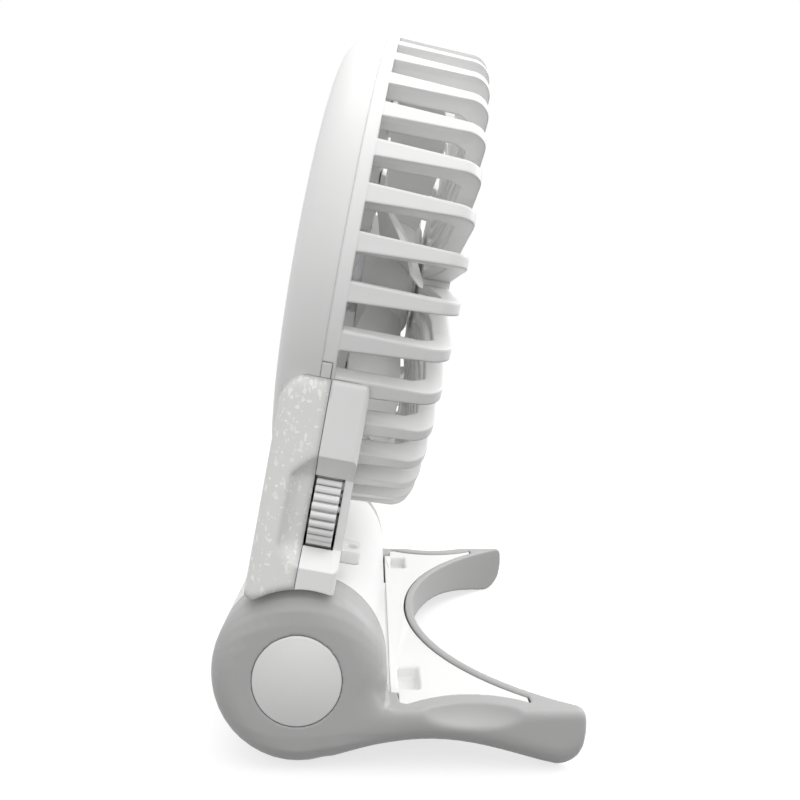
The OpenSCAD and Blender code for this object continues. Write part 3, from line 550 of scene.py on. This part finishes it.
def board(name, colour):
    """Circuit board: coated, with faint tracks under the coat."""
    s = Surface(name, colour, 0.35, coat=0.4)
    tracks = s.add("ShaderNodeTexBrick")
    tracks.inputs["Scale"].default_value = 220
    tracks.inputs["Color1"].default_value = (*colour, 1)
    tracks.inputs["Color2"].default_value = (*(c * 0.85 for c in colour), 1)
    tracks.inputs["Mortar"].default_value = (*(min(c * 1.5, 1) for c in colour), 1)
    s.link(s.coords.outputs["Object"], tracks.inputs["Vector"])
    s.set("Base Color", tracks.outputs["Color"])
    s.grain(tracks.outputs["Fac"], 0.03 * MM, 0.4)
    return s.material


# The rounded top of the neck and one of its lugs
NECK_TOP = HINGE + 75 * MM * HEAD_UP
LUG_AT = HINGE + 7.8 * MM * FAN_AXIS + 28.1 * MM * HEAD_UP + Vector((0, 49 * MM, 0))
# How round the neck's edges look: most of them, those of its top and those of its lugs
NECK_SOFT = 0.5 * MM
NECK_TOP_SOFT = 1.6 * MM
LUG_SOFT = 1.1 * MM
# Where the softness of the top and of a lug starts to fade, and where it ends
TOP_REACH = (3 * MM, 6 * MM)
LUG_REACH = (6 * MM, 8 * MM)


def neck_softness(s):
    """The neck's top edge and its lugs are rounder than its other edges."""
    top = s.near(NECK_TOP, TOP_REACH, NECK_TOP_SOFT, NECK_SOFT, (0, 0, 1))
    lugs = s.near(LUG_AT, LUG_REACH, LUG_SOFT, NECK_SOFT)
    return s.larger(top, lugs)


MATERIALS = {}


def make_materials(look):
    """All the finishes of the fan, by slot name."""
    white, grey = tuple(look.white), tuple(look.grey)
    MATERIALS.update({
        "white_plastic": moulded("white_plastic", white, 0.38, depth=0.02, soft=0.6 * MM),
        "neck_plastic": moulded("neck_plastic", white, 0.38, depth=0.02, soft=neck_softness),
        "speckled_cover": speckled("speckled_cover", tuple(look.cover), tuple(look.fleck)),
        "grey_base": moulded("grey_base", grey, 0.42, depth=0.025, soft=0.8 * MM),
        "cap_grey": moulded("cap_grey", tuple(look.cap), 0.34, depth=0.015, coat=0.15),
        "foot_pad": moulded("foot_pad", tuple(c * 0.85 for c in grey), 0.7, grain=700, depth=0.06),
        "washer_fibre": moulded("washer_fibre", (0.05, 0.05, 0.052), 0.8, grain=900, depth=0.08),
        "screw_steel": turned_metal("screw_steel", (0.60, 0.60, 0.62), 0.32),
        "pin_steel": turned_metal("pin_steel", (0.66, 0.66, 0.68), 0.26),
        "motor_steel": turned_metal("motor_steel", (0.62, 0.62, 0.64), 0.3, (1, 1, 1)),
        "cell_case": moulded("cell_case", (0.08, 0.20, 0.45), 0.3, depth=0.01, coat=0.3),
        "dark_plastic": moulded("dark_plastic", (0.02, 0.02, 0.022), 0.5),
        "contact_brass": turned_metal("contact_brass", (0.76, 0.60, 0.32), 0.28),
        "board_green": board("board_green", (0.01, 0.09, 0.03)),
        "socket_steel": turned_metal("socket_steel", (0.70, 0.70, 0.72), 0.2),
        "light_pipe": moulded("light_pipe", (0.75, 0.80, 0.76), 0.15, depth=0.005, coat=0.5),
        "blade_plastic": moulded("blade_plastic", tuple(c * 0.96 for c in white), 0.36, depth=0.02),
        # The thumbwheel's painted shade reaches further, down into its grooves
        "wheel_plastic": moulded("wheel_plastic", tuple(c * 0.90 for c in white), 0.34, depth=0.015,
                                 seam=1.6 * MM),
        "rib_plastic": moulded("rib_plastic", white, 0.38, depth=0.02, soft=1.0 * MM),
    })


# ---- Pieces ----

# Rounding of the drum's rear, the latches, the thumbwheel, the socket, the nubs, the round covers,
# the screws' heads and the blades
DRUM_EDGE = 0.3 * MM
LATCH_EDGE = 0.1 * MM
WHEEL_EDGE = 0.3 * MM
SOCKET_EDGE = 0.05 * MM
NUB_EDGE = 0.3 * MM
CAP_EDGE = 0.12 * MM
SCREW_EDGE = 0.12 * MM
BLADE_EDGE = 0.15 * MM
# Length, width and depth of the crosses in the screws' heads
CROSS = (2.6 * MM, 0.7 * MM, 0.8 * MM)


class FAN_OT_finishes(bpy.types.Operator):
    """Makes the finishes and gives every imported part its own"""
    bl_idname = "fan.finishes"
    bl_label = "Finishes"

    def execute(self, context):
        make_materials(context.scene.fan_finish)
        for node, obj in frame["nodes"].items():
            finish_with(obj, MATERIALS[SLOT_OF[node]])
        return {"FINISHED"}


class FAN_OT_drum(bpy.types.Operator):
    """Models the rear half of the drum and its centre cap with soft edges"""
    bl_idname = "fan.drum"
    bl_label = "Drum"

    def execute(self, context):
        sizes = context.scene.fan_sizes
        white = MATERIALS["white_plastic"]
        drum = merged_copy("rear_housing", "drum_rear")
        for vertex in drum.data.vertices:
            if on_the_seam(vertex.co):
                vertex.co += FAN_AXIS * sizes.drum_fit
        soften(drum, DRUM_EDGE, share_at=off_the_seam)
        finish_with(drum, white)
        place(drum, "rear_housing")
        soft_copy("rear_centre_cap", "drum_cap", sizes.small_edge, white)
        return {"FINISHED"}


class FAN_OT_grille(bpy.types.Operator):
    """Rounds the ribs of the grille, its badge and the latches"""
    bl_idname = "fan.grille"
    bl_label = "Grille"

    def execute(self, context):
        sizes = context.scene.fan_sizes
        white = MATERIALS["white_plastic"]
        soft_copy("front_grille", "grille_ribs", sizes.rib_edge, MATERIALS["rib_plastic"],
                  share_at=off_the_seam)
        soft_copy("grille_badge", "grille_disc", sizes.small_edge, white)
        soft_copy("grille_latches", "ring_latches", LATCH_EDGE, white)
        return {"FINISHED"}


class FAN_OT_neck(bpy.types.Operator):
    """Rounds the edges of the neck's shell and its speckled cover, and relieves the cover's corners"""
    bl_idname = "fan.neck"
    bl_label = "Neck"

    def execute(self, context):
        sizes = context.scene.fan_sizes
        soft_copy("neck_front_shell", "neck_shell", sizes.shell_edge, MATERIALS["neck_plastic"])
        cover = merged_copy("neck_rear_cover", "neck_cover")
        for side in (-1, 1):
            low, high = COVER_RELIEF
            relief = head_block((low[0], side * low[1], low[2]), (high[0], side * high[1], high[2]))
            add_modifier(cover, "BOOLEAN", operation="DIFFERENCE", solver="EXACT", object=relief)
            bpy.data.objects.remove(relief, do_unlink=True)
        soften(cover, sizes.shell_edge)
        finish_with(cover, MATERIALS["speckled_cover"])
        place(cover, "neck_rear_cover")
        return {"FINISHED"}


# What is taken off the lower rear corners of the cover, over the cheeks, in the head's own frame
COVER_RELIEF = ((-20.0, 54.2, 12.0), (-12.0, 70.0, 17.6))


def head_block(low, high):
    """A block between two corners in millimetres, in the frame of the leaning head."""
    pick_none()
    bpy.ops.mesh.primitive_cube_add(size=1)
    block = bpy.context.object
    middle = [(a + b) / 2 * MM for a, b in zip(low, high)]
    block.scale = [abs(b - a) * MM for a, b in zip(low, high)]
    block.rotation_euler = (0, math.atan2(-FAN_AXIS.z, FAN_AXIS.x), 0)
    block.location = HINGE + middle[0] * FAN_AXIS + middle[1] * Vector((0, 1, 0)) + middle[2] * HEAD_UP
    bpy.ops.object.transform_apply(location=True, rotation=True, scale=True)
    return block


class FAN_OT_dial(bpy.types.Operator):
    """Rounds the ridged thumbwheel and the charging socket"""
    bl_idname = "fan.dial"
    bl_label = "Dial and socket"

    def execute(self, context):
        soft_copy("speed_wheel", "thumbwheel", WHEEL_EDGE, MATERIALS["wheel_plastic"], angle=50)
        soft_copy("usb_socket", "charge_socket", SOCKET_EDGE, MATERIALS["socket_steel"])
        return {"FINISHED"}


# Where a cheek runs into its leg, within the foot and on its flat side, and how far a narrow crack
# there is filled
JOIN_AT = HINGE + Vector((22.5, 64.5, -4.5)) * MM
JOIN_SIDE = HINGE + Vector((20.0, 68.0, -6.5)) * MM
JOIN_FILL = 0.8 * MM
# Where the join, the flat side by it, and what is inside of the flat side start to fade and end
JOIN_REACH = (3.5 * MM, 6 * MM)
SIDE_REACH = (4 * MM, 8 * MM)
INSIDE_REACH = (-3.5 * MM, -1.5 * MM)
# Radius of a cheek, and how far the fill may stand out from the cheek and the leg
CHEEK_RADIUS = 22.4 * MM
FILL_ROOM = 0.08 * MM
# Triangles that the foot's mesh is thinned to
FOOT_FACES = 190000
# Rounds of smoothing at the join, on the flat side by it, at the scoops and all over
SMOOTH_JOIN = 12
SMOOTH_SIDE = 160
SMOOTH_SCOOP = 44
SMOOTH_ALL = 2
# Middle of a thumb scoop on the outside of a leg, and how far the soft region round it reaches
FOOT_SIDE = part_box("base_frame")[1].y
FOOT_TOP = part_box("base_top_plate")[1].z
SCOOP_AT = Vector((HINGE.x + 42.8 * MM, FOOT_SIDE, FOOT_TOP - 4 * MM))
SCOOP_REACH = (18 * MM, 6 * MM, 6 * MM)
# Shares of that reach between which the softness fades, and heights under the foot's top
SCOOP_FADE = (0.85, 1.1)
TOP_FADE = (-2 * MM, 0)


def near_the_join(point):
    away = Vector((point.x, abs(point.y), point.z)) - JOIN_AT
    return fade(Vector((away.x, away.y * 0.8, away.z)).length, *JOIN_REACH)


def inside_the_join(point):
    """The join without the flat outside of the foot."""
    return near_the_join(point) * fade(abs(point.y) - FOOT_SIDE, *INSIDE_REACH)


def beside_the_join(point):
    away = Vector((point.x, abs(point.y), point.z)) - JOIN_SIDE
    return fade(away.length, *SIDE_REACH)


def near_a_scoop(point):
    away = Vector((point.x, abs(point.y), point.z)) - SCOOP_AT
    share = fade(Vector([a / reach for a, reach in zip(away, SCOOP_REACH)]).length, *SCOOP_FADE)
    return share * fade(point.z - FOOT_TOP, *TOP_FADE)


# Height of the dome of the round covers, and the rings that make it
DOME_HEIGHT = 1.5 * MM
DOME_RINGS = 10
# Vertices on a cover's rim that are nearer than this are made one, so that the dome is even
DOME_MERGE = 0.3 * MM
# How far the plate's top lies below the rim of the foot
PLATE_DROP = 0.35 * MM
# How much the plate's other upper edges are rounded, as a share of the pockets' rims, and how far
# under its top an edge still counts as an upper one
RIM_SHARE = 0.2
RIM_WITHIN = 0.3 * MM
# A face whose normal rises less than this stands upright
UPRIGHT = 0.2
# Where a plug pocket opens in the plate, and how far its rim reaches from there
POCKET_AT = Vector((HINGE.x + 28.4 * MM, 49.0 * MM))
POCKET_REACH = 8 * MM


def by_a_pocket(point):
    return (Vector((point.x, abs(point.y))) - POCKET_AT).length < POCKET_REACH


def pocket_rims(point):
    """The pockets are rounded in full, and the rest of the plate's upper edges less."""
    if by_a_pocket(point):
        return 1.0
    return RIM_SHARE if point.z > FOOT_TOP - PLATE_DROP - RIM_WITHIN else 0.0


class FAN_OT_base(bpy.types.Operator):
    """Rounds the foot and its plate, and domes the round covers"""
    bl_idname = "fan.base"
    bl_label = "Foot"

    def foot_frame(self, material):
        """The U-shaped foot as one soft moulding: cheeks flow into legs, scoops have round rims."""
        obj = merged_copy("base_frame", "foot_frame")
        self.even_mesh(obj)
        for step in (JOIN_FILL, -JOIN_FILL):
            group = weigh_vertices(obj, "join", inside_the_join)
            add_modifier(obj, "DISPLACE", strength=step, mid_level=0, vertex_group=group)
            if step > 0:
                self.even_mesh(obj)
        for name, share_at, times, all_ways in (("join", near_the_join, SMOOTH_JOIN, True),
                                                ("side", beside_the_join, SMOOTH_SIDE, False),
                                                ("scoop", near_a_scoop, SMOOTH_SCOOP, True)):
            obj.vertex_groups.clear()
            group = weigh_vertices(obj, name, share_at)
            add_modifier(obj, "SMOOTH", factor=0.5, iterations=times, vertex_group=group,
                         use_x=all_ways, use_z=all_ways)
        obj.vertex_groups.clear()
        self.keep_clear(obj)
        add_modifier(obj, "SMOOTH", factor=0.5, iterations=SMOOTH_ALL)
        add_modifier(obj, "DECIMATE", ratio=FOOT_FACES / (2 * len(obj.data.polygons)))
        pick(obj)
        bpy.ops.object.shade_smooth()
        finish_with(obj, material)
        place(obj, "base_frame")

    def keep_clear(self, obj):
        """Takes the fill back to the cheek and the leg, where the neck comes to lie when it is folded."""
        for vertex in obj.data.vertices:
            if near_the_join(vertex.co) > 0:
                out = Vector((vertex.co.x - HINGE.x, vertex.co.z - HINGE.z))
                over = out.length - CHEEK_RADIUS - FILL_ROOM
                above = vertex.co.z - FOOT_TOP - FILL_ROOM
                if 0 < over < above:
                    vertex.co -= Vector((out.x, 0, out.y)) * (over / out.length)
                elif 0 < above <= over:
                    vertex.co.z -= above

    def draw_in(self, obj, gap):
        """Moves the plate's upright outline in and its top down, so that a dark line shows round it."""
        mesh = bmesh.new()
        mesh.from_mesh(obj.data)
        moves = {}
        for face in mesh.faces:
            if abs(face.normal.z) < UPRIGHT and not by_a_pocket(face.calc_center_median()):
                for vertex in face.verts:
                    moves[vertex] = moves.get(vertex, Vector()) + face.normal.normalized()
        for vertex, normal in moves.items():
            vertex.co -= normal.normalized() * gap
        for vertex in mesh.verts:
            if vertex.co.z > FOOT_TOP - HAIR:
                vertex.co.z -= PLATE_DROP
        mesh.to_mesh(obj.data)
        mesh.free()

    def dome(self, obj):
        """Raises the outer face of a round cover into a shallow dome, ring by ring."""
        outwards = math.copysign(1, sum(vertex.co.y for vertex in obj.data.vertices))
        far = max(vertex.co.y * outwards for vertex in obj.data.vertices)
        pick(obj)
        bpy.context.tool_settings.mesh_select_mode = (False, False, True)
        bpy.ops.object.mode_set(mode="EDIT")
        bpy.ops.mesh.select_all(action="DESELECT")
        bpy.ops.object.mode_set(mode="OBJECT")
        for face in obj.data.polygons:
            face.select = face.center.y * outwards > far - HAIR
        bpy.ops.object.mode_set(mode="EDIT")
        bpy.ops.mesh.remove_doubles(threshold=DOME_MERGE)
        for ring in range(DOME_RINGS):
            outer = 1 - ring / (DOME_RINGS + 1)
            inner = outer - 1 / (DOME_RINGS + 1)
            rise = DOME_HEIGHT * (outer ** 2 - inner ** 2)
            bpy.ops.mesh.extrude_region_move(TRANSFORM_OT_translate={"value": (0, outwards * rise, 0)})
            bpy.ops.transform.resize(value=(inner / outer, 1, inner / outer), center_override=HINGE)
        bpy.ops.mesh.merge(type="CENTER")
        bpy.ops.object.mode_set(mode="OBJECT")
        bpy.context.tool_settings.mesh_select_mode = (True, False, False)

    def cap(self, node, name, fit):
        """A domed round cover, wide enough that only a thin line shows round it."""
        obj = merged_copy(node, name)
        pick(obj)
        bpy.ops.object.mode_set(mode="EDIT")
        bpy.ops.mesh.select_all(action="SELECT")
        bpy.ops.transform.resize(value=(fit, 1, fit), center_override=HINGE)
        bpy.ops.object.mode_set(mode="OBJECT")
        self.dome(obj)
        soften(obj, CAP_EDGE, 2, angle=60)
        finish_with(obj, MATERIALS["cap_grey"])
        place(obj, node)

    def even_mesh(self, obj):
        """Remakes the moulding of small even faces."""
        add_modifier(obj, "REMESH", mode="VOXEL", voxel_size=bpy.context.scene.fan_sizes.foot_grid)

    def execute(self, context):
        sizes = context.scene.fan_sizes
        self.foot_frame(MATERIALS["grey_base"])
        plate = merged_copy("base_top_plate", "foot_plate")
        self.draw_in(plate, sizes.plate_gap)
        soften(plate, sizes.pocket_edge, share_at=pocket_rims, clamp=False)
        finish_with(plate, MATERIALS["white_plastic"])
        place(plate, "base_top_plate")
        soft_copy("rear_feet", "foot_nubs", NUB_EDGE, MATERIALS["foot_pad"])
        for side in ("left", "right"):
            self.cap(f"{side}_hinge_cap", f"{side}_cheek_cap", sizes.cap_fit)
        return {"FINISHED"}


class FAN_OT_screws(bpy.types.Operator):
    """Cuts crosses into the heads of the screws that show from behind and from below"""
    bl_idname = "fan.screws"
    bl_label = "Screws"

    def execute(self, context):
        for node, name, outwards in (("neck_screws", "cover_screws", -FAN_AXIS),
                                     ("base_plate_screws", "foot_screws", Vector((0, 0, -1)))):
            obj = merged_copy(node, name)
            cross_recesses(obj, outwards, *CROSS)
            soften(obj, SCREW_EDGE, 2)
            finish_with(obj, MATERIALS["screw_steel"])
            place(obj, node)
        return {"FINISHED"}


class FAN_OT_rotor(bpy.types.Operator):
    """Rounds the edges of the impeller's blades and shades them smooth"""
    bl_idname = "fan.rotor"
    bl_label = "Impeller"

    def execute(self, context):
        soft_copy("impeller", "blades", BLADE_EDGE, MATERIALS["blade_plastic"], angle=60, smooth=50)
        return {"FINISHED"}


# Each lamp: its place, the point that it faces, and its width
LAMPS = {
    "top": ((0.10, -0.12, 0.85), (0, 0, 0.09), 0.9),
    "side": ((0.75, 0.30, 0.45), (0, 0, 0.08), 0.6),
    "near": ((0.10, -1.05, 0.40), (0, 0, 0.08), 0.8),
}
# The camera looks level at the side of the fan with the thumbwheel
CAMERA_AT = (-0.0057, -0.2597, 0.1128)
CAMERA_LENS = 35.0
CAMERA_SENSOR = 36.0
CAMERA_SHIFT = (0.0325, -0.10375)
# The floor: its width, its shade to the light, and its shade and glow to the camera
FLOOR_SIZE = 6
FLOOR_SHADE = 0.12
FLOOR_SEEN_SHADE = 0.37
FLOOR_GLOW = 0.70


class FAN_OT_stage(bpy.types.Operator):
    """Sets the floor, the even light, the lamps and the camera"""
    bl_idname = "fan.stage"
    bl_label = "Studio"

    def execute(self, context):
        levels = context.scene.fan_stage
        scene = context.scene
        scene.view_settings.view_transform = "Standard"
        make_floor()
        make_world(levels.world_level)
        for name, (place_at, target, size) in LAMPS.items():
            lamp(f"{name}_lamp", place_at, target, size, getattr(levels, f"{name}_level"))
        camera = bpy.data.cameras.new("camera")
        camera.lens = CAMERA_LENS
        camera.sensor_width = CAMERA_SENSOR
        camera.shift_x, camera.shift_y = CAMERA_SHIFT
        camera.clip_start = 0.01
        holder = bpy.data.objects.new("camera", camera)
        holder.location = CAMERA_AT
        holder.rotation_euler = (math.radians(90), 0, 0)
        scene.collection.objects.link(holder)
        scene.camera = holder
        return {"FINISHED"}


def lamp(name, place_at, target, size, power):
    """A square lamp that faces a point."""
    light = bpy.data.lights.new(name, "AREA")
    light.size = size
    light.energy = power
    obj = bpy.data.objects.new(name, light)
    obj.location = place_at
    obj.rotation_euler = (Vector(target) - Vector(place_at)).to_track_quat("-Z", "Y").to_euler()
    bpy.context.scene.collection.objects.link(obj)


def seen_as_background(tree):
    """1 for what the camera, gloss and clear parts see, and 0 for light that falls on a surface."""
    path = tree.nodes.new("ShaderNodeLightPath")
    seen = path.outputs["Is Camera Ray"]
    for ray in ("Is Glossy Ray", "Is Transmission Ray"):
        either = tree.nodes.new("ShaderNodeMath")
        either.operation = "MAXIMUM"
        tree.links.new(seen, either.inputs[0])
        tree.links.new(path.outputs[ray], either.inputs[1])
        seen = either.outputs["Value"]
    return seen


def make_world(level):
    """Even light from all round, seen as white by the camera and in metal."""
    world = bpy.data.worlds.new("studio")
    bpy.context.scene.world = world
    world.use_nodes = True
    tree = world.node_tree
    back = tree.nodes["Background"]
    strength = tree.nodes.new("ShaderNodeMapRange")
    strength.inputs["To Min"].default_value = level
    strength.inputs["To Max"].default_value = 1.0
    tree.links.new(seen_as_background(tree), strength.inputs["Value"])
    tree.links.new(strength.outputs["Result"], back.inputs["Strength"])
    back.inputs["Color"].default_value = (1, 1, 1, 1)


def make_floor():
    """A pale floor that reads as white to the camera and keeps a soft shadow."""
    pick_none()
    bpy.ops.mesh.primitive_plane_add(size=FLOOR_SIZE, location=(0, 0, CAD_LO.z))
    floor = bpy.context.object
    floor.name = "floor"
    material = bpy.data.materials.new("floor")
    material.use_nodes = True
    tree = material.node_tree
    plain = tree.nodes["Principled BSDF"]
    plain.inputs["Base Color"].default_value = (*(FLOOR_SHADE,) * 3, 1)
    plain.inputs["Roughness"].default_value = 0.9
    glow = tree.nodes.new("ShaderNodeEmission")
    glow.inputs["Strength"].default_value = FLOOR_GLOW
    both = tree.nodes.new("ShaderNodeAddShader")
    pale = tree.nodes.new("ShaderNodeBsdfDiffuse")
    pale.inputs["Color"].default_value = (*(FLOOR_SEEN_SHADE,) * 3, 1)
    choose = tree.nodes.new("ShaderNodeMixShader")
    tree.links.new(glow.outputs["Emission"], both.inputs[0])
    tree.links.new(pale.outputs["BSDF"], both.inputs[1])
    tree.links.new(seen_as_background(tree), choose.inputs["Fac"])
    tree.links.new(plain.outputs["BSDF"], choose.inputs[1])
    tree.links.new(both.outputs["Shader"], choose.inputs[2])
    tree.links.new(choose.outputs["Shader"], tree.nodes["Material Output"].inputs["Surface"])
    floor.data.materials.append(material)


class FAN_PT_panel(bpy.types.Panel):
    """The fan's pieces and their settings"""
    bl_idname = "FAN_PT_panel"
    bl_label = "Camping Fan"
    bl_space_type = "VIEW_3D"
    bl_region_type = "UI"
    bl_category = "Fan"

    def draw(self, context):
        for group in (context.scene.fan_sizes, context.scene.fan_finish, context.scene.fan_stage):
            box = self.layout.box()
            for key in group.bl_rna.properties.keys():
                if key not in ("rna_type", "name"):
                    box.prop(group, key)
        for operator in OPERATORS:
            self.layout.operator(operator.bl_idname)


OPERATORS = (FAN_OT_finishes, FAN_OT_drum, FAN_OT_grille, FAN_OT_neck, FAN_OT_dial, FAN_OT_base,
             FAN_OT_screws, FAN_OT_rotor, FAN_OT_stage)
CLASSES = (FanSizes, FanFinish, FanStage, *OPERATORS, FAN_PT_panel)


def register():
    for cls in CLASSES:
        bpy.utils.register_class(cls)
    bpy.types.Scene.fan_sizes = bpy.props.PointerProperty(type=FanSizes)
    bpy.types.Scene.fan_finish = bpy.props.PointerProperty(type=FanFinish)
    bpy.types.Scene.fan_stage = bpy.props.PointerProperty(type=FanStage)


def unregister():
    for name in ("fan_sizes", "fan_finish", "fan_stage"):
        delattr(bpy.types.Scene, name)
    for cls in reversed(CLASSES):
        bpy.utils.unregister_class(cls)


def main():
    register()
    bpy.ops.fan.finishes()
    bpy.ops.fan.drum()
    bpy.ops.fan.grille()
    bpy.ops.fan.neck()
    bpy.ops.fan.dial()
    bpy.ops.fan.base()
    bpy.ops.fan.screws()
    bpy.ops.fan.rotor()
    bpy.ops.fan.stage()


if __name__ == "__main__":
    main()
